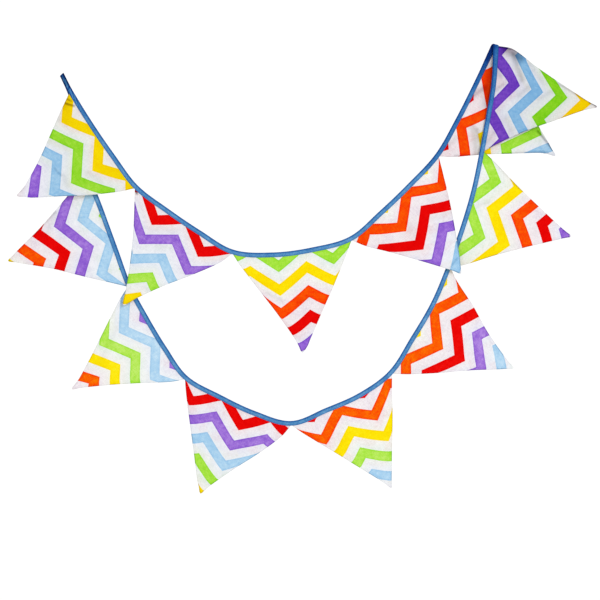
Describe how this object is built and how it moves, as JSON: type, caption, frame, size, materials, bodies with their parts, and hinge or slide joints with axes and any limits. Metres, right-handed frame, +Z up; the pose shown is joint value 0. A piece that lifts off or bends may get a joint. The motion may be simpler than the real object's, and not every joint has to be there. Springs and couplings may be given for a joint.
{
  "type": "fabric bunting",
  "caption": "String of triangular double-layer pennants in zigzag-striped cotton, sewn into a folded binding tape and hung as a doubled swag.",
  "frame": {"origin": "top of the binding where it doubles over the right hanging point", "axes": "+X to the right of a viewer facing the front, +Y away from that viewer, +Z up; the cloth hangs near the plane Y = 0"},
  "size_m": [0.999, 0.025, 0.7647],
  "materials": {
    "printed_cotton": "matt plain-weave cotton, white, printed with zigzag stripes",
    "blue_cotton": "matt folded cotton binding, mid blue"
  },
  "bodies": {
    "root": {"binding": "blue_cotton", "pennant_01": "printed_cotton", "pennant_02": "printed_cotton", "pennant_03": "printed_cotton", "pennant_04": "printed_cotton", "pennant_05": "printed_cotton", "pennant_06": "printed_cotton", "pennant_07": "printed_cotton", "pennant_08": "printed_cotton", "pennant_09": "printed_cotton", "pennant_10": "printed_cotton", "pennant_11": "printed_cotton", "pennant_12": "printed_cotton"}
  },
  "joints": []
}
